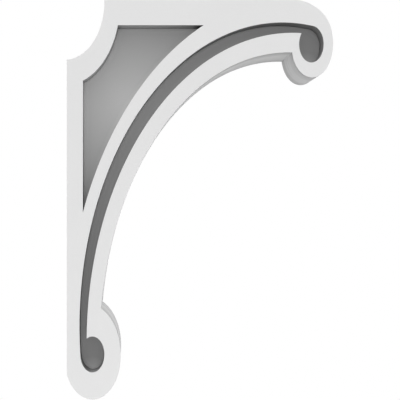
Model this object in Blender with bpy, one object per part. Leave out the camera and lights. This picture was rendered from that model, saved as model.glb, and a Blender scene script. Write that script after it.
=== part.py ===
"""An arched corbel milled from white cellular PVC, as a Blender model in metres.

The wall is the plane x = 0 and the corbel reaches out along +X, with +Z up and its
thickness along Y. Its origin is on the flat back, where it meets the wall.

The pattern is a set of circles in a square as wide as the corbel is deep. The square is
then stretched upwards to the real height, so every circle becomes an upright ellipse.
A place in the square is (out, down): the distance out from the wall and down from the top.
"""

import math
from collections import namedtuple

import bmesh
import bpy

# Driving sizes of the whole corbel, 24 by 36 by 3 inches
DEPTH = 0.6096
HEIGHT = 0.9144
THICKNESS = 0.0762
RECESS = 0.024
TOP_ABOVE_ORIGIN = 0.495
STRETCH = HEIGHT / DEPTH

# Notch in the corner between the wall and the top
NOTCH_OUT = -0.0036
NOTCH_DOWN = 0.0014
NOTCH_RADIUS = 0.0895

# Scroll at the outer end of the top: three radii, and the angles where they change
TIP_RADII = (0.1151, 0.0568, 0.0465)
TIP_TURNS = (-57.2, 32.5)

# Scroll at the foot: a wide shoulder, then a smaller round
FOOT_SHOULDER_RADIUS = 0.0779
FOOT_RADIUS = 0.0642
FOOT_OUT = 0.0585
FOOT_TURN = 18.7

# Curved underside: a tighter upper stretch, then a flatter lower one
UNDERSIDE_OUT = 0.5076
UNDERSIDE_DOWN = 0.4994
UNDERSIDE_UPPER_RADIUS = 0.4195
UNDERSIDE_LOWER_RADIUS = 0.4549
UNDERSIDE_TURN = 230.8

# Groove along the arch, and the round eye at each of its ends
GROOVE_OUTER = (0.4937, 0.4989, 0.4646)
GROOVE_INNER = (0.5172, 0.5218, 0.4718)
FOOT_EYE_RADIUS = 0.0274
FOOT_EYE_ANGLE = 174.5
TIP_EYE_RADIUS = 0.0280
TIP_EYE_ANGLE = 278.7

# Sunk panel in the spandrel, between the wall band, the top band, the notch and the arch
PANEL_WALL_BAND = 0.0369
PANEL_TOP_BAND = 0.0384
PANEL_NOTCH = (-0.0043, 0.0036, 0.1262)
PANEL_ARCH = (0.5232, 0.5180, 0.5237)

# Fineness of the round stretches
LONGEST_CHORD = 0.012
WIDEST_STEP = 7.5

# A cutter starts this far outside the face that it cuts
CUTTER_OVERHANG = 0.01
SHARP_EDGE_ANGLE = 30.0

UP = -90.0
FULL_TURN = 360.0
QUARTER_TURNS = range(-360, 721, 90)
SAME_POINT = 1e-7

Circle = namedtuple("Circle", "out down radius")


def point_on(circle, degrees):
    """The point of the circle at an angle that starts outward and turns downward."""
    angle = math.radians(degrees)
    out = circle.out + circle.radius * math.cos(angle)
    down = circle.down + circle.radius * math.sin(angle)
    return out, down


def angle_of(circle, point):
    """The angle, from 0 to 360, at which a point is seen from the circle's centre."""
    return math.degrees(math.atan2(point[1] - circle.down, point[0] - circle.out)) % FULL_TURN


def tangent_circle(circle, degrees, radius):
    """The circle of another radius that takes over smoothly from this one at an angle."""
    inset = Circle(circle.out, circle.down, circle.radius - radius)
    return Circle(*point_on(inset, degrees), radius)


def crossing(first, second, side):
    """Where two circles cross; side is 1 or -1 and picks one of the two places."""
    apart_out = second.out - first.out
    apart_down = second.down - first.down
    apart = math.hypot(apart_out, apart_down)
    along = (apart ** 2 + first.radius ** 2 - second.radius ** 2) / (2 * apart)
    across = side * math.sqrt(first.radius ** 2 - along ** 2)
    out = first.out + (along * apart_out - across * apart_down) / apart
    down = first.down + (along * apart_down + across * apart_out) / apart
    return out, down


def out_at(circle, down, side):
    """How far out the circle is at a height; side is 1 for its outer half, -1 for the other."""
    return circle.out + side * math.sqrt(circle.radius ** 2 - (down - circle.down) ** 2)


def down_at(circle, out, side):
    """How far down the circle is at a distance out; side is 1 for its lower half, -1 for the upper."""
    return circle.down + side * math.sqrt(circle.radius ** 2 - (out - circle.out) ** 2)


def arc(circle, start, end):
    """Points along the circle from one angle to another, both included, with every quarter turn passed."""
    quarters = [turn for turn in QUARTER_TURNS if min(start, end) < turn < max(start, end)]
    stops = sorted([start, *quarters, end], reverse=end < start)
    widest = min(WIDEST_STEP, math.degrees(LONGEST_CHORD / circle.radius))
    points = [point_on(circle, start)]
    for low, high in zip(stops, stops[1:]):
        steps = math.ceil(abs(high - low) / widest)
        points += [point_on(circle, low + (high - low) * step / steps) for step in range(1, steps + 1)]
    return points


def closed_path(*stretches):
    """One loop of points from its stretches, without the points where they meet twice."""
    path = []
    for point in (point for stretch in stretches for point in stretch):
        if not path or math.dist(point, path[-1]) > SAME_POINT:
            path.append(point)
    if math.dist(path[0], path[-1]) <= SAME_POINT:
        path.pop()
    return path


def tip_circles():
    """The three circles of the scroll at the outer end, from the top edge round to the arch."""
    first, second, third = TIP_RADII
    widest_out = DEPTH - second
    top_out = widest_out - (first - second) * math.cos(math.radians(TIP_TURNS[0]))
    shoulder = Circle(top_out, first, first)
    nose = tangent_circle(shoulder, TIP_TURNS[0], second)
    return shoulder, nose, tangent_circle(nose, TIP_TURNS[1], third)


def foot_circles():
    """The two circles of the scroll at the foot, from the arch round to the wall."""
    round_end = Circle(FOOT_OUT, DEPTH - FOOT_RADIUS, FOOT_RADIUS)
    return tangent_circle(round_end, FOOT_TURN, FOOT_SHOULDER_RADIUS), round_end


def corbel_outline():
    """The corbel's outline: top edge, tip scroll, underside, foot scroll, wall and notch."""
    notch = Circle(NOTCH_OUT, NOTCH_DOWN, NOTCH_RADIUS)
    shoulder, nose, curl = tip_circles()
    upper = Circle(UNDERSIDE_OUT, UNDERSIDE_DOWN, UNDERSIDE_UPPER_RADIUS)
    lower = tangent_circle(upper, UNDERSIDE_TURN, UNDERSIDE_LOWER_RADIUS)
    foot_shoulder, foot = foot_circles()

    notch_top = (out_at(notch, 0.0, 1), 0.0)
    notch_wall = (0.0, down_at(notch, 0.0, 1))
    foot_wall = (0.0, down_at(foot, 0.0, 1))
    under_tip = crossing(curl, upper, 1)
    above_foot = crossing(foot_shoulder, lower, -1)
    return closed_path(
        [notch_top],
        arc(shoulder, UP, TIP_TURNS[0]),
        arc(nose, *TIP_TURNS),
        arc(curl, TIP_TURNS[1], angle_of(curl, under_tip)),
        arc(upper, angle_of(upper, under_tip), UNDERSIDE_TURN),
        arc(lower, UNDERSIDE_TURN, angle_of(lower, above_foot)),
        arc(foot_shoulder, angle_of(foot_shoulder, above_foot) - FULL_TURN, FOOT_TURN),
        arc(foot, FOOT_TURN, angle_of(foot, foot_wall)),
        arc(notch, angle_of(notch, notch_wall), angle_of(notch, notch_top) - FULL_TURN),
    )


def panel_outline():
    """The spandrel panel's outline, three long sides and the curve beside the notch."""
    notch_side = Circle(*PANEL_NOTCH)
    arch = Circle(*PANEL_ARCH)
    near_notch = (out_at(notch_side, PANEL_TOP_BAND, 1), PANEL_TOP_BAND)
    top_corner = (out_at(arch, PANEL_TOP_BAND, -1), PANEL_TOP_BAND)
    low_corner = (PANEL_WALL_BAND, down_at(arch, PANEL_WALL_BAND, -1))
    below_notch = (PANEL_WALL_BAND, down_at(notch_side, PANEL_WALL_BAND, 1))
    return closed_path(
        arc(arch, angle_of(arch, top_corner), angle_of(arch, low_corner)),
        arc(notch_side, angle_of(notch_side, below_notch), angle_of(notch_side, near_notch)),
    )


def groove_outline():
    """The groove's outline: its outer side, the tip eye, its inner side and the foot eye."""
    outer = Circle(*GROOVE_OUTER)
    inner = Circle(*GROOVE_INNER)
    tip_eye = tangent_circle(outer, TIP_EYE_ANGLE, TIP_EYE_RADIUS)
    foot_eye = tangent_circle(outer, FOOT_EYE_ANGLE, FOOT_EYE_RADIUS)
    tip_end = crossing(tip_eye, inner, 1)
    foot_end = crossing(foot_eye, inner, -1)
    return closed_path(
        arc(outer, FOOT_EYE_ANGLE, TIP_EYE_ANGLE),
        arc(tip_eye, TIP_EYE_ANGLE, angle_of(tip_eye, tip_end) + FULL_TURN),
        arc(inner, angle_of(inner, tip_end), angle_of(inner, foot_end)),
        arc(foot_eye, angle_of(foot_eye, foot_end), FOOT_EYE_ANGLE + FULL_TURN),
    )


def extruded(name, outline, near, far):
    """A solid with this outline between two places along the thickness."""
    shape = bmesh.new()
    corners = [shape.verts.new((out, near, TOP_ABOVE_ORIGIN - down * STRETCH)) for out, down in outline]
    face = shape.faces.new(corners)
    grown = bmesh.ops.extrude_face_region(shape, geom=[face])["geom"]
    moved = [item for item in grown if isinstance(item, bmesh.types.BMVert)]
    bmesh.ops.translate(shape, verts=moved, vec=(0.0, far - near, 0.0))
    bmesh.ops.recalc_face_normals(shape, faces=shape.faces)
    mesh = bpy.data.meshes.new(name)
    shape.to_mesh(mesh)
    shape.free()
    item = bpy.data.objects.new(name, mesh)
    bpy.context.scene.collection.objects.link(item)
    return item


def cutter(name, outline, face_side):
    """A cutter that sinks the outline into the face on one side, -1 or 1 along Y."""
    outside = face_side * (THICKNESS / 2 + CUTTER_OVERHANG)
    floor = face_side * (THICKNESS / 2 - RECESS)
    item = extruded(name, outline, outside, floor)
    item.hide_render = True
    item.display_type = "WIRE"
    return item


def cellular_pvc():
    """White foamed PVC board, milled and left smooth."""
    material = bpy.data.materials.new("white cellular PVC")
    material.use_nodes = True
    shader = material.node_tree.nodes["Principled BSDF"]
    shader.inputs["Base Color"].default_value = (0.83, 0.83, 0.82, 1.0)
    shader.inputs["Roughness"].default_value = 0.45
    shader.inputs["Metallic"].default_value = 0.0
    return material


def make_corbel():
    """The corbel: its outline in one thickness, with the panel and groove sunk in both faces."""
    corbel = extruded("corbel", corbel_outline(), -THICKNESS / 2, THICKNESS / 2)
    corbel.data.materials.append(cellular_pvc())
    recesses = {"panel": panel_outline(), "groove": groove_outline()}
    for side_name, face_side in (("front", -1), ("back", 1)):
        for recess_name, outline in recesses.items():
            cut = corbel.modifiers.new(f"{side_name} {recess_name}", "BOOLEAN")
            cut.operation = "DIFFERENCE"
            cut.solver = "EXACT"
            cut.object = cutter(f"{side_name}_{recess_name}_cutter", outline, face_side)

    # The cuts are made final, so that the new edges can be marked sharp
    cut_shape = corbel.evaluated_get(bpy.context.evaluated_depsgraph_get())
    corbel.data = bpy.data.meshes.new_from_object(cut_shape)
    corbel.modifiers.clear()
    corbel.data.shade_smooth()
    corbel.data.set_sharp_from_angle(angle=math.radians(SHARP_EDGE_ANGLE))
    return corbel


def main():
    """Clear the scene and make the corbel."""
    for item in list(bpy.data.objects):
        bpy.data.objects.remove(item, do_unlink=True)
    make_corbel()


main()
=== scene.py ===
"""The looks of an arched corbel milled from white cellular PVC.

It is laid out as a Blender add-on and run as a script. The corbel's pattern is drawn flat from
circles, stood up and given its thickness, sunk panels and grooves by a Geometry Nodes tree, and
its outer edges are eased with a Bevel. The stage is a pale floor, soft light and the camera.
"""

import math
from collections import namedtuple

import bmesh
import bpy
from bpy.props import FloatProperty, FloatVectorProperty, IntProperty, PointerProperty, StringProperty
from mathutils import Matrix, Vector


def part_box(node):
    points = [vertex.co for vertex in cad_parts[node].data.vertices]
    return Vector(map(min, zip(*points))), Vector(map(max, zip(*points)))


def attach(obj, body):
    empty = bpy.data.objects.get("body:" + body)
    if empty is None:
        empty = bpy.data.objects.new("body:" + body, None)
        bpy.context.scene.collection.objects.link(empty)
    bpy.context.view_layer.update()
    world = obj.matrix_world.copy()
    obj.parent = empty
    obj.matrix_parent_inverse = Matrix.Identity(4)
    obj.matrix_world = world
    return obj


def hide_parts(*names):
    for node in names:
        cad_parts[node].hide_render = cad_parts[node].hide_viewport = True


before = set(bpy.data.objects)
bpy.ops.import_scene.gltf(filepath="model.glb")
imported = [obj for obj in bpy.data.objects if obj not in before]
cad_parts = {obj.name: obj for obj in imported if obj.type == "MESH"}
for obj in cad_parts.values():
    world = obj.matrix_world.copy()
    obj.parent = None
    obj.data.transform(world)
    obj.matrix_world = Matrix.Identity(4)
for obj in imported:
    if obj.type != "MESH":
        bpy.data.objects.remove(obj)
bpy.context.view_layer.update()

bl_info = {
    "name": "Arched PVC corbel",
    "version": (1, 0, 0),
    "blender": (4, 5, 0),
    "location": "3D View > Sidebar > Corbel",
    "description": "Makes a milled cellular PVC corbel with sunk panels and grooves, and its studio",
    "category": "Object",
}

CORBEL_LOW, CORBEL_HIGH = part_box("corbel")

# The corbel's pattern, as in its construction: circles in a square as wide as the corbel is deep
DEPTH = CORBEL_HIGH.x - CORBEL_LOW.x
STRETCH = (CORBEL_HIGH.z - CORBEL_LOW.z) / DEPTH
NOTCH_OUT = -0.0036
NOTCH_DOWN = 0.0014
NOTCH_RADIUS = 0.0895
TIP_RADII = (0.1151, 0.0568, 0.0465)
TIP_TURNS = (-57.2, 32.5)
FOOT_SHOULDER_RADIUS = 0.0779
FOOT_RADIUS = 0.0642
FOOT_OUT = 0.0585
FOOT_TURN = 18.7
UNDERSIDE_OUT = 0.5076
UNDERSIDE_DOWN = 0.4994
UNDERSIDE_UPPER_RADIUS = 0.4195
UNDERSIDE_LOWER_RADIUS = 0.4549
UNDERSIDE_TURN = 230.8
GROOVE_OUTER = (0.4937, 0.4989, 0.4646)
GROOVE_INNER = (0.5172, 0.5218, 0.4718)
FOOT_EYE_RADIUS = 0.0274
FOOT_EYE_ANGLE = 174.5
TIP_EYE_RADIUS = 0.0280
TIP_EYE_ANGLE = 278.7
PANEL_WALL_BAND = 0.0369
PANEL_TOP_BAND = 0.0384
PANEL_NOTCH = (-0.0043, 0.0036, 0.1262)
PANEL_ARCH = (0.5232, 0.5180, 0.5237)

# Angles on a circle, in degrees
UP = -90.0
FULL_TURN = 360.0
QUARTER_TURNS = range(-360, 721, 90)

# Angles in the model, in radians, and how near two points are when they count as one
RIGHT_ANGLE = math.radians(90.0)
SHARP_EDGE = math.radians(30.0)
SAME_POINT = 1e-6
MERGE_REACH = SAME_POINT * 10

# The photograph's frame, in pixels, and where the corbel and its vanishing point stand in it;
# the camera's sensor is given in millimetres
PHOTO_SIDE = 400.0
PIXELS_PER_METRE = 437.0
WALL_LINE = 66.8
VANISHING_X = 126.5
VANISHING_Y = 200.0
SENSOR = 36.0

# Marks of the loops in the flat drawing
RIM = 0
PANEL = 1
GROOVE = 2

# How narrowly a sunk wall counts as level for the painted light and shade by which way it faces, and the
# relief tree's inputs for the painted shade and painted light of the sunk parts
LEVEL_FOCUS = 8.0
TONE_INPUTS = (
    "Panel Floor Tone", "Panel Floor Fade", "Panel Wall Tone", "Panel Wall Fade",
    "Panel Lower Wall", "Panel Upper Wall", "Panel Wall Lean",
    "Groove Floor Tone", "Groove Floor Fade", "Groove Wall Tone", "Groove Wall Fade",
    "Groove Lower Wall", "Groove Upper Wall", "Groove Wall Lean",
    "Floor Corner", "Wall Corner", "Eye Lift",
)

# The PVC's refractive index, how the painted light and painted shade of its corners are sampled, and what its
# noise is like: how much detail each has, and the two values that most of the streaks' noise lies between
PVC_IOR = 1.53
CORNER_SAMPLES = 8
STREAK_DETAIL = 2.0
STREAK_LOW = 0.35
STREAK_HIGH = 0.65
CELL_DETAIL = 1.0
CLOUD_DETAIL = 2.0

FLOOR_COLOUR = "#E4E4E4"
FLOOR_ROUGHNESS = 0.9
FLOOR_SEGMENTS = 128

Circle = namedtuple("Circle", "out down radius")


def point_on(circle, degrees):
    """The point of the circle at an angle that starts outward and turns downward."""
    angle = math.radians(degrees)
    out = circle.out + circle.radius * math.cos(angle)
    down = circle.down + circle.radius * math.sin(angle)
    return out, down


def angle_of(circle, point):
    """The angle, from 0 to 360, at which a point is seen from the circle's centre."""
    return math.degrees(math.atan2(point[1] - circle.down, point[0] - circle.out)) % FULL_TURN


def tangent_circle(circle, degrees, radius):
    """The circle of another radius that takes over smoothly from this one at an angle."""
    inset = Circle(circle.out, circle.down, circle.radius - radius)
    return Circle(*point_on(inset, degrees), radius)


def crossing(first, second, side):
    """Where two circles cross; side is 1 or -1 and picks one of the two places."""
    apart_out = second.out - first.out
    apart_down = second.down - first.down
    apart = math.hypot(apart_out, apart_down)
    along = (apart ** 2 + first.radius ** 2 - second.radius ** 2) / (2 * apart)
    across = side * math.sqrt(first.radius ** 2 - along ** 2)
    out = first.out + (along * apart_out - across * apart_down) / apart
    down = first.down + (along * apart_down + across * apart_out) / apart
    return out, down


def out_at(circle, down, side):
    """How far out the circle is at a height; side is 1 for its outer half, -1 for the other."""
    return circle.out + side * math.sqrt(circle.radius ** 2 - (down - circle.down) ** 2)


def down_at(circle, out, side):
    """How far down the circle is at a distance out; side is 1 for its lower half, -1 for the upper."""
    return circle.down + side * math.sqrt(circle.radius ** 2 - (out - circle.out) ** 2)


class Pen:
    """Draws arcs as points that lie no further apart than one facet."""

    def __init__(self, facet):
        self.facet = facet

    def arc(self, circle, start, end):
        """Points along the circle from one angle to another, with every quarter turn passed."""
        quarters = [turn for turn in QUARTER_TURNS if min(start, end) < turn < max(start, end)]
        stops = sorted([start, *quarters, end], reverse=end < start)
        widest = math.degrees(self.facet / circle.radius)
        points = [point_on(circle, start)]
        for low, high in zip(stops, stops[1:]):
            steps = math.ceil(abs(high - low) / widest)
            points += [point_on(circle, low + (high - low) * step / steps) for step in range(1, steps + 1)]
        return points


def closed_path(*stretches):
    """One loop of points from its stretches, without the points where they meet twice."""
    path = []
    for point in (point for stretch in stretches for point in stretch):
        if not path or math.dist(point, path[-1]) > SAME_POINT:
            path.append(point)
    if math.dist(path[0], path[-1]) <= SAME_POINT:
        path.pop()
    return path


def tip_circles():
    """The three circles of the scroll at the outer end, from the top edge round to the arch."""
    first, second, third = TIP_RADII
    widest_out = DEPTH - second
    top_out = widest_out - (first - second) * math.cos(math.radians(TIP_TURNS[0]))
    shoulder = Circle(top_out, first, first)
    nose = tangent_circle(shoulder, TIP_TURNS[0], second)
    return shoulder, nose, tangent_circle(nose, TIP_TURNS[1], third)


def foot_circles():
    """The two circles of the scroll at the foot, from the arch round to the wall."""
    round_end = Circle(FOOT_OUT, DEPTH - FOOT_RADIUS, FOOT_RADIUS)
    return tangent_circle(round_end, FOOT_TURN, FOOT_SHOULDER_RADIUS), round_end


def corbel_outline(pen):
    """The corbel's outline: top edge, tip scroll, underside, foot scroll, wall and notch."""
    notch = Circle(NOTCH_OUT, NOTCH_DOWN, NOTCH_RADIUS)
    shoulder, nose, curl = tip_circles()
    upper = Circle(UNDERSIDE_OUT, UNDERSIDE_DOWN, UNDERSIDE_UPPER_RADIUS)
    lower = tangent_circle(upper, UNDERSIDE_TURN, UNDERSIDE_LOWER_RADIUS)
    foot_shoulder, foot = foot_circles()

    notch_top = (out_at(notch, 0.0, 1), 0.0)
    notch_wall = (0.0, down_at(notch, 0.0, 1))
    foot_wall = (0.0, down_at(foot, 0.0, 1))
    under_tip = crossing(curl, upper, 1)
    above_foot = crossing(foot_shoulder, lower, -1)
    return closed_path(
        [notch_top],
        pen.arc(shoulder, UP, TIP_TURNS[0]),
        pen.arc(nose, *TIP_TURNS),
        pen.arc(curl, TIP_TURNS[1], angle_of(curl, under_tip)),
        pen.arc(upper, angle_of(upper, under_tip), UNDERSIDE_TURN),
        pen.arc(lower, UNDERSIDE_TURN, angle_of(lower, above_foot)),
        pen.arc(foot_shoulder, angle_of(foot_shoulder, above_foot) - FULL_TURN, FOOT_TURN),
        pen.arc(foot, FOOT_TURN, angle_of(foot, foot_wall)),
        pen.arc(notch, angle_of(notch, notch_wall), angle_of(notch, notch_top) - FULL_TURN),
    )


def panel_outline(pen):
    """The spandrel panel's outline, three long sides and the curve beside the notch."""
    notch_side = Circle(*PANEL_NOTCH)
    arch = Circle(*PANEL_ARCH)
    near_notch = (out_at(notch_side, PANEL_TOP_BAND, 1), PANEL_TOP_BAND)
    top_corner = (out_at(arch, PANEL_TOP_BAND, -1), PANEL_TOP_BAND)
    low_corner = (PANEL_WALL_BAND, down_at(arch, PANEL_WALL_BAND, -1))
    below_notch = (PANEL_WALL_BAND, down_at(notch_side, PANEL_WALL_BAND, 1))
    return closed_path(
        pen.arc(arch, angle_of(arch, top_corner), angle_of(arch, low_corner)),
        pen.arc(notch_side, angle_of(notch_side, below_notch), angle_of(notch_side, near_notch)),
    )


def eye_circles():
    """The round eyes that end the groove, at the tip and at the foot."""
    outer = Circle(*GROOVE_OUTER)
    tip_eye = tangent_circle(outer, TIP_EYE_ANGLE, TIP_EYE_RADIUS)
    return tip_eye, tangent_circle(outer, FOOT_EYE_ANGLE, FOOT_EYE_RADIUS)


def groove_outline(pen):
    """The groove's outline: its outer side, the tip eye, its inner side and the foot eye."""
    outer = Circle(*GROOVE_OUTER)
    inner = Circle(*GROOVE_INNER)
    tip_eye, foot_eye = eye_circles()
    tip_end = crossing(tip_eye, inner, 1)
    foot_end = crossing(foot_eye, inner, -1)
    return closed_path(
        pen.arc(outer, FOOT_EYE_ANGLE, TIP_EYE_ANGLE),
        pen.arc(tip_eye, TIP_EYE_ANGLE, angle_of(tip_eye, tip_end) + FULL_TURN),
        pen.arc(inner, angle_of(inner, tip_end), angle_of(inner, foot_end)),
        pen.arc(foot_eye, angle_of(foot_eye, foot_end), FOOT_EYE_ANGLE + FULL_TURN),
    )


def flat_drawing(facet):
    """The three outlines as loops of edges lying flat, with an attribute that tells them apart."""
    pen = Pen(facet)
    drawing = bmesh.new()
    which = drawing.verts.layers.int.new("loop")
    outlines = {RIM: corbel_outline(pen), PANEL: panel_outline(pen), GROOVE: groove_outline(pen)}
    for loop, outline in outlines.items():
        corners = [drawing.verts.new((out, CORBEL_HIGH.z - down * STRETCH, 0.0)) for out, down in outline]
        for corner, following in zip(corners, corners[1:] + corners[:1]):
            corner[which] = loop
            drawing.edges.new((corner, following))
    mesh = bpy.data.meshes.new("corbel drawing")
    drawing.to_mesh(mesh)
    drawing.free()
    return mesh


def linear(hex_colour):
    """An sRGB hex colour as the linear values that a shader takes."""
    shares = [int(hex_colour[place:place + 2], 16) / 255 for place in (1, 3, 5)]
    levels = [share / 12.92 if share <= 0.04045 else ((share + 0.055) / 1.055) ** 2.4 for share in shares]
    return (*levels, 1.0)


def add_node(tree, kind, settings=None, inputs=None):
    """Adds a node with its settings; its inputs, by name or place, are values or sockets to link."""
    node = tree.nodes.new(kind)
    for key, value in (settings or {}).items():
        setattr(node, key, value)
    for key, value in (inputs or {}).items():
        if isinstance(value, bpy.types.NodeSocket):
            tree.links.new(value, node.inputs[key])
        else:
            node.inputs[key].default_value = value
    return node


def relief_tree():
    """The Geometry Nodes tree that turns the flat drawing into the corbel and stores the painted shade of its
    sunk parts on their faces.
    """
    tree = bpy.data.node_groups.new("corbel relief", "GeometryNodeTree")
    sockets = tree.interface
    sockets.new_socket("Drawing", in_out="INPUT", socket_type="NodeSocketGeometry")
    for label in ("Thickness", "Recess"):
        socket = sockets.new_socket(label, in_out="INPUT", socket_type="NodeSocketFloat")
        socket.subtype = "DISTANCE"
    for label in TONE_INPUTS:
        sockets.new_socket(label, in_out="INPUT", socket_type="NodeSocketFloat")
    sockets.new_socket("Material", in_out="INPUT", socket_type="NodeSocketMaterial")
    sockets.new_socket("Corbel", in_out="OUTPUT", socket_type="NodeSocketGeometry")
    given = add_node(tree, "NodeGroupInput")
    loop = add_node(tree, "GeometryNodeInputNamedAttribute", {"data_type": "INT"}, {"Name": "loop"})

    # The broad face with its openings, and the floors that close them
    every_loop = add_node(tree, "GeometryNodeMeshToCurve", None, {"Mesh": given.outputs["Drawing"]})
    skin = add_node(tree, "GeometryNodeFillCurve", {"mode": "NGONS"}, {"Curve": every_loop.outputs["Curve"]})
    sheet = add_node(tree, "GeometryNodeJoinGeometry", None, {"Geometry": skin.outputs["Mesh"]})
    for mark in (PANEL, GROOVE):
        chosen = add_node(tree, "FunctionNodeCompare", {"data_type": "INT", "operation": "EQUAL"},
                          {"A": loop.outputs["Attribute"], "B": mark})
        edge = add_node(tree, "GeometryNodeMeshToCurve", None,
                        {"Mesh": given.outputs["Drawing"], "Selection": chosen.outputs["Result"]})
        filled = add_node(tree, "GeometryNodeFillCurve", {"mode": "NGONS"}, {"Curve": edge.outputs["Curve"]})
        marked = add_node(tree, "GeometryNodeStoreNamedAttribute", {"data_type": "INT", "domain": "FACE"},
                          {"Geometry": filled.outputs["Mesh"], "Name": "floor", "Value": mark})
        tree.links.new(marked.outputs["Geometry"], sheet.inputs["Geometry"])
    whole = add_node(tree, "GeometryNodeMergeByDistance", None,
                     {"Geometry": sheet.outputs["Geometry"], "Distance": MERGE_REACH})

    # Stood up at half the thickness, then the floors pushed in and the rim drawn back to the middle
    half = add_node(tree, "ShaderNodeMath", {"operation": "MULTIPLY"},
                    {0: given.outputs["Thickness"], 1: 0.5})
    forward = add_node(tree, "ShaderNodeMath", {"operation": "MULTIPLY"}, {0: half.outputs["Value"], 1: -1.0})
    front = add_node(tree, "ShaderNodeCombineXYZ", None, {"Y": forward.outputs["Value"]})
    upright = add_node(tree, "GeometryNodeTransform", None,
                       {"Geometry": whole.outputs["Geometry"], "Translation": front.outputs["Vector"],
                        "Rotation": (RIGHT_ANGLE, 0.0, 0.0)})
    inward = add_node(tree, "ShaderNodeCombineXYZ", None, {"Y": given.outputs["Recess"]})
    # Every face starts with a painted-shade tone of one, which leaves the raised faces their plain white
    sunken = add_node(tree, "GeometryNodeStoreNamedAttribute", {"data_type": "FLOAT", "domain": "FACE"},
                      {"Geometry": upright.outputs["Geometry"], "Name": "tone", "Value": 1.0})
    floor = add_node(tree, "GeometryNodeInputNamedAttribute", {"data_type": "INT"}, {"Name": "floor"})
    facing = add_node(tree, "ShaderNodeSeparateXYZ", None,
                      {"Vector": add_node(tree, "GeometryNodeInputNormal").outputs["Normal"]})
    # How straight up or down each face looks, for the painted light and painted shade that a sunk wall gets
    # by which way it faces
    levelness = {}
    for wall, sign in (("Lower", 1.0), ("Upper", -1.0)):
        signed = add_node(tree, "ShaderNodeMath", {"operation": "MULTIPLY"},
                          {0: facing.outputs["Z"], 1: sign})
        kept = add_node(tree, "ShaderNodeMath", {"operation": "MAXIMUM"},
                        {0: signed.outputs["Value"], 1: 0.0})
        levelness[wall] = add_node(tree, "ShaderNodeMath", {"operation": "POWER"},
                                   {0: kept.outputs["Value"], 1: LEVEL_FOCUS})
    for mark, recess in ((PANEL, "Panel"), (GROOVE, "Groove")):
        chosen = add_node(tree, "FunctionNodeCompare", {"data_type": "INT", "operation": "EQUAL"},
                          {"A": floor.outputs["Attribute"], "B": mark})
        pushed = add_node(tree, "GeometryNodeExtrudeMesh", {"mode": "FACES"},
                          {"Mesh": sunken.outputs[0], "Selection": chosen.outputs["Result"],
                           "Offset": inward.outputs["Vector"], "Offset Scale": 1.0, "Individual": False})
        # A sunk wall's tone is painted shade, made lighter or darker by which way the wall faces, as light
        # from above and from one side would leave it
        leaning = add_node(tree, "ShaderNodeMath", {"operation": "MULTIPLY_ADD"},
                           {0: facing.outputs["X"], 1: given.outputs[f"{recess} Wall Lean"],
                            2: given.outputs[f"{recess} Wall Tone"]})
        wall_tone = leaning.outputs["Value"]
        for wall, level in levelness.items():
            lifted = add_node(tree, "ShaderNodeMath", {"operation": "MULTIPLY_ADD"},
                              {0: level.outputs["Value"], 1: given.outputs[f"{recess} {wall} Wall"],
                               2: wall_tone})
            wall_tone = lifted.outputs["Value"]
        sunken = pushed
        # The sunk floors and walls keep their painted shade and painted light as face attributes: tone, fade,
        # corner and eye
        for surface, name, value in (("Top", "tone", given.outputs[f"{recess} Floor Tone"]),
                                     ("Side", "tone", wall_tone),
                                     ("Top", "fade", given.outputs[f"{recess} Floor Fade"]),
                                     ("Side", "fade", given.outputs[f"{recess} Wall Fade"]),
                                     ("Top", "corner", given.outputs["Floor Corner"]),
                                     ("Side", "corner", given.outputs["Wall Corner"]),
                                     ("Top", "eye", given.outputs["Eye Lift"])):
            sunken = add_node(tree, "GeometryNodeStoreNamedAttribute",
                              {"data_type": "FLOAT", "domain": "FACE"},
                              {"Geometry": sunken.outputs[0], "Selection": pushed.outputs[surface],
                               "Name": name, "Value": value})
    neighbours = add_node(tree, "GeometryNodeInputMeshEdgeNeighbors")
    is_rim = add_node(tree, "FunctionNodeCompare", {"data_type": "INT", "operation": "EQUAL"},
                      {"A": neighbours.outputs["Face Count"], "B": 1})
    back = add_node(tree, "ShaderNodeCombineXYZ", None, {"Y": half.outputs["Value"]})
    drawn_back = add_node(tree, "GeometryNodeExtrudeMesh", {"mode": "EDGES"},
                          {"Mesh": sunken.outputs["Geometry"], "Selection": is_rim.outputs["Result"],
                           "Offset": back.outputs["Vector"], "Offset Scale": 1.0})
    sided = add_node(tree, "GeometryNodeStoreNamedAttribute", {"data_type": "FLOAT", "domain": "FACE"},
                     {"Geometry": drawn_back.outputs["Mesh"], "Selection": drawn_back.outputs["Side"],
                      "Name": "cut", "Value": 1.0})

    # The other half is its mirror image
    mirrored = add_node(tree, "GeometryNodeTransform", None,
                        {"Geometry": sided.outputs["Geometry"], "Scale": (1.0, -1.0, 1.0)})
    turned = add_node(tree, "GeometryNodeFlipFaces", None, {"Mesh": mirrored.outputs["Geometry"]})
    both = add_node(tree, "GeometryNodeJoinGeometry", None, {"Geometry": sided.outputs["Geometry"]})
    tree.links.new(turned.outputs["Mesh"], both.inputs["Geometry"])
    closed = add_node(tree, "GeometryNodeMergeByDistance", None,
                      {"Geometry": both.outputs["Geometry"], "Distance": MERGE_REACH})

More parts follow.
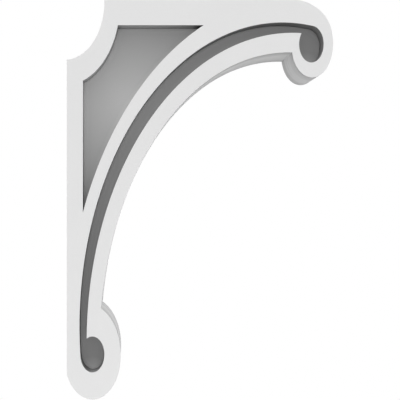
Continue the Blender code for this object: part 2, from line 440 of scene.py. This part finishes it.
    # Outer corners are marked to be eased, and inner ones stay crisp
    corner = add_node(tree, "GeometryNodeInputMeshEdgeAngle")
    is_outer = add_node(tree, "FunctionNodeCompare", {"operation": "GREATER_THAN"},
                        {0: corner.outputs["Signed Angle"], 1: SHARP_EDGE})
    is_inner = add_node(tree, "FunctionNodeCompare", {"operation": "LESS_THAN"},
                        {0: corner.outputs["Signed Angle"], 1: -SHARP_EDGE})
    eased = add_node(tree, "GeometryNodeStoreNamedAttribute", {"data_type": "FLOAT", "domain": "EDGE"},
                     {"Geometry": closed.outputs["Geometry"], "Name": "bevel_weight_edge",
                      "Value": is_outer.outputs["Result"]})
    crisp = add_node(tree, "GeometryNodeStoreNamedAttribute", {"data_type": "BOOLEAN", "domain": "EDGE"},
                     {"Geometry": eased.outputs["Geometry"], "Name": "sharp_edge",
                      "Value": is_inner.outputs["Result"]})
    real = add_node(tree, "GeometryNodeRealizeInstances", None, {"Geometry": crisp.outputs["Geometry"]})
    finished = add_node(tree, "GeometryNodeSetMaterial", None,
                        {"Geometry": real.outputs["Geometry"], "Material": given.outputs["Material"]})
    add_node(tree, "NodeGroupOutput", None, {"Corbel": finished.outputs["Geometry"]})
    return tree


def set_tree_inputs(modifier, values):
    """Sets a Geometry Nodes modifier's inputs by the names of its sockets."""
    for item in modifier.node_group.interface.items_tree:
        if item.item_type == "SOCKET" and item.in_out == "INPUT" and item.name in values:
            modifier[item.identifier] = values[item.name]


def product(tree, *factors):
    """Multiplies sockets of a shader tree together."""
    result = factors[0]
    for factor in factors[1:]:
        grown = add_node(tree, "ShaderNodeMath", {"operation": "MULTIPLY"}, {0: result, 1: factor})
        result = grown.outputs["Value"]
    return result


def tint(tree, share, *amounts):
    """A factor for the shade: one and a share of the amounts' product; a negative share greys."""
    factor = add_node(tree, "ShaderNodeMath", {"operation": "MULTIPLY_ADD"},
                      {0: product(tree, *amounts), 1: share, 2: 1.0})
    return factor.outputs["Value"]


def spot(tree, place, centre, spans):
    """One at a place, and falling evenly to nothing at its spans; a span of 0 is endless."""
    centred = add_node(tree, "ShaderNodeVectorMath", {"operation": "SUBTRACT"},
                       {0: place.outputs["Object"], 1: centre})
    sized = add_node(tree, "ShaderNodeVectorMath", {"operation": "MULTIPLY"},
                     {0: centred.outputs["Vector"], 1: [1 / span if span else 0.0 for span in spans]})
    near = add_node(tree, "ShaderNodeTexGradient", {"gradient_type": "SPHERICAL"},
                    {"Vector": sized.outputs["Vector"]})
    return near.outputs["Fac"]


def cellular_pvc(finish, half_thickness):
    """White cellular PVC board, milled: a matt white, with painted shade and painted light on its sunk parts
    and painted shade at the arrises of its faintly streaked cut edge.
    """
    material = bpy.data.materials.new("milled white cellular PVC")
    material.use_nodes = True
    tree = material.node_tree
    shader = tree.nodes["Principled BSDF"]
    shader.inputs["IOR"].default_value = PVC_IOR
    shader.inputs["Specular IOR Level"].default_value = finish.gloss
    place = add_node(tree, "ShaderNodeTexCoord")

    # Painted shade: the sunk parts are greyest far from the middle of the spandrel
    near = spot(tree, place, finish.shade_centre, (finish.shade_reach,) * 3)
    far = add_node(tree, "ShaderNodeMath", {"operation": "SUBTRACT"}, {0: 1.0, 1: near})
    tone = add_node(tree, "ShaderNodeAttribute", {"attribute_name": "tone"})
    fade = add_node(tree, "ShaderNodeAttribute", {"attribute_name": "fade"})
    spandrel_painted_shade = tint(tree, -1.0, fade.outputs["Fac"], far.outputs["Value"])

    # Painted light keeps their floors an even grey right up to the walls, where soft light alone would shade
    # them off, and painted shade greys their walls where they close in on each other
    exposed = add_node(tree, "ShaderNodeAmbientOcclusion", {"samples": CORNER_SAMPLES, "only_local": True},
                       {"Distance": finish.corner_reach})
    hidden = add_node(tree, "ShaderNodeMath", {"operation": "SUBTRACT"}, {0: 1.0, 1: exposed.outputs["AO"]})
    corner = add_node(tree, "ShaderNodeAttribute", {"attribute_name": "corner"})
    corner_painted_light_and_shade = tint(tree, corner.outputs["Fac"], hidden.outputs["Value"])

    # Painted light: the floors of the two eyes turn lighter towards their lower ends
    low_ends = [spot(tree, place, (circle.out, 0.0, CORBEL_HIGH.z - (circle.down + circle.radius) * STRETCH),
                     (finish.eye_reach, 0.0, finish.eye_reach)) for circle in eye_circles()]
    both_ends = add_node(tree, "ShaderNodeMath", {"operation": "ADD"}, {0: low_ends[0], 1: low_ends[1]})
    eye = add_node(tree, "ShaderNodeAttribute", {"attribute_name": "eye"})
    eye_painted_light = tint(tree, eye.outputs["Fac"], both_ends.outputs["Value"])

    # Painted shade greys the cut edge towards both arrises, and the edge is faintly streaked along its
    # length, in bands about 12 mm wide as the picture shows them; real cutter marks are finer than its pixels
    through = add_node(tree, "ShaderNodeSeparateXYZ", None, {"Vector": place.outputs["Object"]})
    off_middle = add_node(tree, "ShaderNodeMath", {"operation": "DIVIDE"},
                          {0: through.outputs["Y"], 1: half_thickness})
    cut = add_node(tree, "ShaderNodeAttribute", {"attribute_name": "cut"})
    arris_painted_shade = tint(tree, -finish.edge_grey, off_middle.outputs["Value"], off_middle.outputs["Value"],
                  cut.outputs["Fac"])
    drawn_out = add_node(tree, "ShaderNodeVectorMath", {"operation": "MULTIPLY"},
                         {0: place.outputs["Object"],
                          1: (1 / finish.streak_length, 1 / finish.streak_width, 1 / finish.streak_length)})
    streaks = add_node(tree, "ShaderNodeTexNoise", None,
                       {"Vector": drawn_out.outputs["Vector"], "Scale": 1.0, "Detail": STREAK_DETAIL})
    dark = add_node(tree, "ShaderNodeMapRange", None,
                    {"Value": streaks.outputs["Fac"], "From Min": STREAK_LOW, "From Max": STREAK_HIGH})
    streaked = tint(tree, -finish.streak_depth, dark.outputs["Result"], cut.outputs["Fac"])

    # Real cells are about 0.2 mm across; they are drawn larger, since the picture has 2.3 mm to a pixel
    cells = add_node(tree, "ShaderNodeTexNoise", None,
                     {"Vector": place.outputs["Object"], "Scale": 1 / finish.cell_size,
                      "Detail": CELL_DETAIL})
    speckled = tint(tree, -finish.cell_depth, cells.outputs["Fac"])
    clouds = add_node(tree, "ShaderNodeTexNoise", None,
                      {"Vector": place.outputs["Object"], "Scale": 1 / finish.cloud_size,
                       "Detail": CLOUD_DETAIL})
    clouded = tint(tree, -finish.cloud_depth, clouds.outputs["Fac"])

    shade = product(tree, tone.outputs["Fac"], spandrel_painted_shade, corner_painted_light_and_shade, eye_painted_light, arris_painted_shade, streaked, speckled, clouded)
    white = add_node(tree, "ShaderNodeVectorMath", {"operation": "SCALE"},
                     {0: linear(finish.colour)[:3], "Scale": shade})
    tree.links.new(white.outputs["Vector"], shader.inputs["Base Color"])
    rubbed = add_node(tree, "ShaderNodeMapRange", None,
                      {"Value": clouds.outputs["Fac"], "To Min": finish.roughness - finish.roughness_spread,
                       "To Max": finish.roughness + finish.roughness_spread})
    tree.links.new(rubbed.outputs["Result"], shader.inputs["Roughness"])
    grain = add_node(tree, "ShaderNodeBump", None,
                     {"Height": cells.outputs["Fac"], "Strength": 1.0, "Distance": finish.cell_relief})
    tree.links.new(grain.outputs["Normal"], shader.inputs["Normal"])
    return material


def make_corbel(sizes, finish):
    """The corbel as one plain mesh at the origin."""
    corbel = bpy.data.objects.new("milled_corbel", flat_drawing(sizes.facet))
    bpy.context.scene.collection.objects.link(corbel)
    relief = corbel.modifiers.new("relief", "NODES")
    relief.node_group = relief_tree()
    set_tree_inputs(relief, {
        "Thickness": sizes.thickness,
        "Recess": sizes.recess,
        # The sunk parts' painted shade and painted light
        "Panel Floor Tone": finish.panel_floor,
        "Panel Wall Tone": finish.panel_wall,
        "Panel Lower Wall": finish.panel_lower,
        "Panel Upper Wall": finish.panel_upper,
        "Panel Wall Lean": finish.panel_lean,
        "Panel Floor Fade": finish.panel_floor_fade,
        "Panel Wall Fade": finish.panel_wall_fade,
        "Groove Floor Tone": finish.groove_floor,
        "Groove Wall Tone": finish.groove_wall,
        "Groove Lower Wall": finish.groove_lower,
        "Groove Upper Wall": finish.groove_upper,
        "Groove Wall Lean": finish.groove_lean,
        "Groove Floor Fade": finish.groove_floor_fade,
        "Groove Wall Fade": finish.groove_wall_fade,
        "Floor Corner": finish.corner_lift,
        "Wall Corner": -finish.corner_grey,
        "Eye Lift": finish.eye_lift,
        "Material": cellular_pvc(finish, sizes.thickness / 2),
    })
    easing = corbel.modifiers.new("eased edges", "BEVEL")
    easing.limit_method = "WEIGHT"
    easing.width = sizes.edge_round
    easing.segments = sizes.edge_steps
    easing.harden_normals = True
    easing.use_clamp_overlap = True

    evaluated = corbel.evaluated_get(bpy.context.evaluated_depsgraph_get())
    solid = bpy.data.meshes.new_from_object(evaluated)
    corbel.modifiers.clear()
    corbel.data = solid
    corbel.data.name = "milled_corbel"
    return corbel


class CorbelSizes(bpy.types.PropertyGroup):
    """Sizes of the corbel that can be changed without redrawing its pattern."""

    thickness: FloatProperty(name="Thickness", description="Thickness of the board", unit="LENGTH",
                             subtype="DISTANCE", default=CORBEL_HIGH.y - CORBEL_LOW.y)
    recess: FloatProperty(name="Recess", description="Depth of the sunk panel and groove in each face",
                          unit="LENGTH", subtype="DISTANCE", default=0.024)
    edge_round: FloatProperty(name="Eased edge", description="Width of the round on the outer edges",
                              unit="LENGTH", subtype="DISTANCE", precision=4, default=0.0008)
    edge_steps: IntProperty(name="Edge steps", description="Facets across each eased edge", default=3,
                            min=1)
    facet: FloatProperty(name="Facet", description="Longest straight step along a round outline",
                         unit="LENGTH", subtype="DISTANCE", precision=4, default=0.0025)


class CorbelFinishAndPaintedShade(bpy.types.PropertyGroup):
    """Look of the milled PVC, with the painted shade and painted light of its sunk parts and cut edges."""

    colour: StringProperty(name="Colour", description="Colour of the PVC as an sRGB hex value",
                           default="#EAEAEA")
    roughness: FloatProperty(name="Roughness", description="Roughness of the milled surface",
                             subtype="FACTOR", default=0.7, min=0.0, max=1.0)
    roughness_spread: FloatProperty(name="Roughness spread",
                                    description="How far the roughness varies both ways",
                                    subtype="FACTOR", default=0.12, min=0.0, max=0.3)
    gloss: FloatProperty(name="Gloss", description="Strength of the surface's reflection",
                         subtype="FACTOR", default=0.1, min=0.0, max=1.0)
    # Where the sunk parts' painted shade is lightest, and how far it reaches
    shade_centre: FloatVectorProperty(name="Shade centre",
                                      description="Lightest place of the sunk parts",
                                      subtype="TRANSLATION", default=(0.141, 0.0, 0.263))
    shade_reach: FloatProperty(name="Shade reach", description="From the lightest place to the greyest",
                               unit="LENGTH", subtype="DISTANCE", default=0.4)
    # Tones of the sunk parts are painted shade; the wall terms add painted light or painted shade by which
    # way a wall faces
    panel_floor: FloatProperty(name="Panel floor",
                               description="Tone of the panel's floor at its lightest",
                               subtype="FACTOR", default=0.593)
    panel_wall: FloatProperty(name="Panel wall",
                              description="Tone of the panel's walls at their lightest",
                              subtype="FACTOR", default=0.81)
    panel_lower: FloatProperty(name="Panel lower wall", description="Tone added where a wall faces up",
                               subtype="FACTOR", default=0.0)
    panel_upper: FloatProperty(name="Panel upper wall",
                               description="Tone added where a wall faces down", subtype="FACTOR",
                               default=0.22)
    panel_lean: FloatProperty(name="Panel wall lean",
                              description="Tone added where a wall faces outward", subtype="FACTOR",
                              default=0.0)
    panel_floor_fade: FloatProperty(name="Panel floor fade",
                                    description="Share of its tone lost at the greyest place",
                                    subtype="FACTOR", default=0.789)
    panel_wall_fade: FloatProperty(name="Panel wall fade",
                                   description="Share of its tone lost at the greyest place",
                                   subtype="FACTOR", default=1.0)
    groove_floor: FloatProperty(name="Groove floor",
                                description="Tone of the groove's floor at its lightest",
                                subtype="FACTOR", default=0.34)
    groove_wall: FloatProperty(name="Groove wall",
                               description="Tone of the groove's walls at their lightest",
                               subtype="FACTOR", default=0.475)
    groove_lower: FloatProperty(name="Groove lower wall",
                                description="Tone added where a wall faces up", subtype="FACTOR",
                                default=0.265)
    groove_upper: FloatProperty(name="Groove upper wall",
                                description="Tone added where a wall faces down", subtype="FACTOR",
                                default=-0.03)
    groove_lean: FloatProperty(name="Groove wall lean",
                               description="Tone added where a wall faces outward", subtype="FACTOR",
                               default=-0.11)
    groove_floor_fade: FloatProperty(name="Groove floor fade",
                                     description="Share of its tone lost at the greyest place",
                                     subtype="FACTOR", default=0.225)
    groove_wall_fade: FloatProperty(name="Groove wall fade",
                                    description="Share of its tone lost at the greyest place",
                                    subtype="FACTOR", default=0.3)
    # Painted light in the corners of the sunk floors and painted shade in the corners of their walls
    corner_lift: FloatProperty(name="Corner lift",
                               description="Share by which a sunk floor lightens in its corners",
                               subtype="FACTOR", default=0.68)
    corner_grey: FloatProperty(name="Corner grey",
                               description="Share by which a sunk wall greys in its corners",
                               subtype="FACTOR", default=0.8)
    corner_reach: FloatProperty(name="Corner reach",
                                description="How far from a corner its lift or grey reaches",
                                unit="LENGTH", subtype="DISTANCE", default=0.013)
    # Painted light at the low ends of the eyes' floors
    eye_lift: FloatProperty(name="Eye lift",
                            description="Share by which an eye's floor lightens at its low end",
                            subtype="FACTOR", default=0.45)
    eye_reach: FloatProperty(name="Eye reach",
                             description="How far from its low end an eye's floor is lighter",
                             unit="LENGTH", subtype="DISTANCE", default=0.03)
    # Painted shade on a cut edge next to its arrises
    edge_grey: FloatProperty(name="Edge grey",
                             description="Share of white lost where a cut edge meets its arrises",
                             subtype="FACTOR", default=0.26)
    streak_depth: FloatProperty(name="Streak depth",
                                description="Share of white lost in the streaks of a cut edge",
                                subtype="FACTOR", default=0.13)
    streak_width: FloatProperty(name="Streak width", description="Width of a streak", unit="LENGTH",
                                subtype="DISTANCE", precision=4, default=0.012)
    streak_length: FloatProperty(name="Streak length", description="Length of a streak", unit="LENGTH",
                                 subtype="DISTANCE", precision=4, default=0.15)
    cell_size: FloatProperty(name="Cell size", description="Size of the foam's cells as drawn",
                             unit="LENGTH", subtype="DISTANCE", precision=4, default=0.003)
    cell_depth: FloatProperty(name="Cell depth", description="Share of white lost in the cells",
                              subtype="FACTOR", default=0.03)
    cell_relief: FloatProperty(name="Cell relief", description="Height of the cells in the surface",
                               unit="LENGTH", subtype="DISTANCE", precision=5, default=0.00004)
    cloud_size: FloatProperty(name="Cloud size", description="Size of the faint clouds in the white",
                              unit="LENGTH", subtype="DISTANCE", default=0.06)
    cloud_depth: FloatProperty(name="Cloud depth", description="Share of white lost in the clouds",
                               subtype="FACTOR", default=0.02)


class StudioSettings(bpy.types.PropertyGroup):
    """Floor, light and camera."""

    camera_distance: FloatProperty(name="Camera distance", description="From the lens to the near face",
                                   unit="LENGTH", subtype="DISTANCE", default=1.12)
    broad_light: FloatProperty(name="Broad light", description="Light square on to the two broad faces",
                               default=3.42)
    broad_focus: FloatProperty(name="Broad focus", description="How narrow the broad light is",
                               default=8.0)
    ring_light: FloatProperty(name="Ring light", description="Light all round the edge of the corbel",
                              default=0.9)
    ring_focus: FloatProperty(name="Ring focus", description="How narrow the ring light is",
                              default=4.0)
    ring_lift: FloatProperty(name="Ring lift", description="Ring light added above and taken off below",
                             default=0.12)
    ring_turn: FloatProperty(name="Ring turn",
                             description="Ring light added at the wall and taken off opposite",
                             default=0.1)
    ceiling_light: FloatProperty(name="Ceiling light", description="Light from straight above",
                                 default=1.2)
    ceiling_focus: FloatProperty(name="Ceiling focus", description="How narrow the ceiling light is",
                                 default=4.0)
    floor_drop: FloatProperty(name="Floor drop",
                              description="From the corbel's lowest point to the floor", unit="LENGTH",
                              subtype="DISTANCE", default=0.6)
    floor_radius: FloatProperty(name="Floor radius", description="Radius of the round floor",
                                unit="LENGTH", subtype="DISTANCE", default=0.7)


class CORBEL_OT_make_corbel(bpy.types.Operator):
    """Make the corbel in place of its plain solid"""

    bl_idname = "corbel.make_corbel"
    bl_label = "Corbel"

    def execute(self, context):
        corbel = make_corbel(context.scene.corbel_sizes, context.scene.corbel_finish)
        if not corbel.data.polygons:
            raise RuntimeError("the corbel has no faces")
        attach(corbel, "root")
        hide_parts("corbel")
        return {"FINISHED"}


def make_floor(studio):
    """A round floor below the corbel."""
    shape = bmesh.new()
    bmesh.ops.create_circle(shape, cap_ends=True, radius=studio.floor_radius, segments=FLOOR_SEGMENTS)
    level = CORBEL_LOW.z - studio.floor_drop
    bmesh.ops.translate(shape, verts=shape.verts, vec=(DEPTH / 2, 0.0, level))
    mesh = bpy.data.meshes.new("floor")
    shape.to_mesh(mesh)
    shape.free()
    floor = bpy.data.objects.new("floor", mesh)
    bpy.context.scene.collection.objects.link(floor)
    material = bpy.data.materials.new("matt white studio paint")
    material.use_nodes = True
    shader = material.node_tree.nodes["Principled BSDF"]
    shader.inputs["Base Color"].default_value = linear(FLOOR_COLOUR)
    shader.inputs["Roughness"].default_value = FLOOR_ROUGHNESS
    floor.data.materials.append(material)
    return floor


def make_camera(studio):
    """A camera that looks straight at the near face, placed by the photograph's vanishing point."""
    camera = bpy.data.objects.new("camera", bpy.data.cameras.new("camera"))
    bpy.context.scene.collection.objects.link(camera)
    camera.location = (
        CORBEL_LOW.x + (VANISHING_X - WALL_LINE) / PIXELS_PER_METRE,
        CORBEL_LOW.y - studio.camera_distance,
        CORBEL_HIGH.z - VANISHING_Y / PIXELS_PER_METRE,
    )
    camera.rotation_euler = (RIGHT_ANGLE, 0.0, 0.0)
    camera.data.sensor_width = SENSOR
    camera.data.lens = SENSOR * studio.camera_distance * PIXELS_PER_METRE / PHOTO_SIDE
    camera.data.shift_x = (PHOTO_SIDE / 2 - VANISHING_X) / PHOTO_SIDE
    camera.data.shift_y = (VANISHING_Y - PHOTO_SIDE / 2) / PHOTO_SIDE
    bpy.context.scene.camera = camera
    return camera


def make_light(studio):
    """A white room, with soft light square on to both broad faces, round the edge and from above."""
    world = bpy.data.worlds.new("studio")
    world.use_nodes = True
    tree = world.node_tree
    lit = tree.nodes["Background"]
    direction = add_node(tree, "ShaderNodeTexCoord")
    parts = add_node(tree, "ShaderNodeSeparateXYZ", None, {"Vector": direction.outputs["Generated"]})
    broad = add_node(tree, "ShaderNodeMath", {"operation": "POWER"},
                     {0: parts.outputs["Y"], 1: studio.broad_focus})
    square = add_node(tree, "ShaderNodeMath", {"operation": "POWER"}, {0: parts.outputs["Y"], 1: 2.0})
    aside = add_node(tree, "ShaderNodeMath", {"operation": "SUBTRACT"}, {0: 1.0, 1: square.outputs["Value"]})
    ring = add_node(tree, "ShaderNodeMath", {"operation": "POWER"},
                    {0: aside.outputs["Value"], 1: studio.ring_focus})
    lifted = add_node(tree, "ShaderNodeMath", {"operation": "MULTIPLY_ADD"},
                      {0: parts.outputs["Z"], 1: studio.ring_lift, 2: studio.ring_light})
    turned = add_node(tree, "ShaderNodeMath", {"operation": "MULTIPLY_ADD"},
                      {0: parts.outputs["X"], 1: -studio.ring_turn, 2: lifted.outputs["Value"]})
    around = add_node(tree, "ShaderNodeMath", {"operation": "MULTIPLY"},
                      {0: ring.outputs["Value"], 1: turned.outputs["Value"]})
    total = add_node(tree, "ShaderNodeMath", {"operation": "MULTIPLY_ADD"},
                     {0: broad.outputs["Value"], 1: studio.broad_light, 2: around.outputs["Value"]})
    above_level = add_node(tree, "ShaderNodeMath", {"operation": "MAXIMUM"}, {0: parts.outputs["Z"], 1: 0.0})
    overhead = add_node(tree, "ShaderNodeMath", {"operation": "POWER"},
                        {0: above_level.outputs["Value"], 1: studio.ceiling_focus})
    topped = add_node(tree, "ShaderNodeMath", {"operation": "MULTIPLY_ADD"},
                      {0: overhead.outputs["Value"], 1: studio.ceiling_light, 2: total.outputs["Value"]})
    tree.links.new(topped.outputs["Value"], lit.inputs["Strength"])
    seen = add_node(tree, "ShaderNodeBackground", None, {"Color": (1.0, 1.0, 1.0, 1.0), "Strength": 1.0})
    lit.inputs["Color"].default_value = (1.0, 1.0, 1.0, 1.0)
    ray = add_node(tree, "ShaderNodeLightPath")
    either = add_node(tree, "ShaderNodeMixShader", None,
                      {0: ray.outputs["Is Camera Ray"], 1: lit.outputs["Background"],
                       2: seen.outputs["Background"]})
    tree.links.new(either.outputs["Shader"], tree.nodes["World Output"].inputs["Surface"])
    bpy.context.scene.world = world


class CORBEL_OT_set_stage(bpy.types.Operator):
    """Make the floor, the light and the camera"""

    bl_idname = "corbel.set_stage"
    bl_label = "Stage"

    def execute(self, context):
        studio = context.scene.corbel_studio
        make_floor(studio)
        make_light(studio)
        if make_camera(studio) is not context.scene.camera:
            raise RuntimeError("the scene has no camera")
        context.scene.view_settings.view_transform = "Standard"
        return {"FINISHED"}


class VIEW3D_PT_corbel(bpy.types.Panel):
    """Lists the corbel's sizes, finish and studio, with a button for each step"""

    bl_label = "Corbel"
    bl_space_type = "VIEW_3D"
    bl_region_type = "UI"
    bl_category = "Corbel"

    def draw(self, context):
        for group in (context.scene.corbel_sizes, context.scene.corbel_finish, context.scene.corbel_studio):
            for name in group.bl_rna.properties.keys():
                if name not in ("rna_type", "name"):
                    self.layout.prop(group, name)
        self.layout.operator(CORBEL_OT_make_corbel.bl_idname)
        self.layout.operator(CORBEL_OT_set_stage.bl_idname)


CLASSES = (
    CorbelSizes, CorbelFinishAndPaintedShade, StudioSettings,
    CORBEL_OT_make_corbel, CORBEL_OT_set_stage, VIEW3D_PT_corbel,
)


def register():
    for item in CLASSES:
        bpy.utils.register_class(item)
    bpy.types.Scene.corbel_sizes = PointerProperty(type=CorbelSizes)
    bpy.types.Scene.corbel_finish = PointerProperty(type=CorbelFinishAndPaintedShade)
    bpy.types.Scene.corbel_studio = PointerProperty(type=StudioSettings)


def unregister():
    del bpy.types.Scene.corbel_studio
    del bpy.types.Scene.corbel_finish
    del bpy.types.Scene.corbel_sizes
    for item in reversed(CLASSES):
        bpy.utils.unregister_class(item)


def main():
    """Makes the corbel and its stage."""
    register()
    bpy.ops.corbel.make_corbel()
    bpy.ops.corbel.set_stage()


if __name__ == "__main__":
    main()
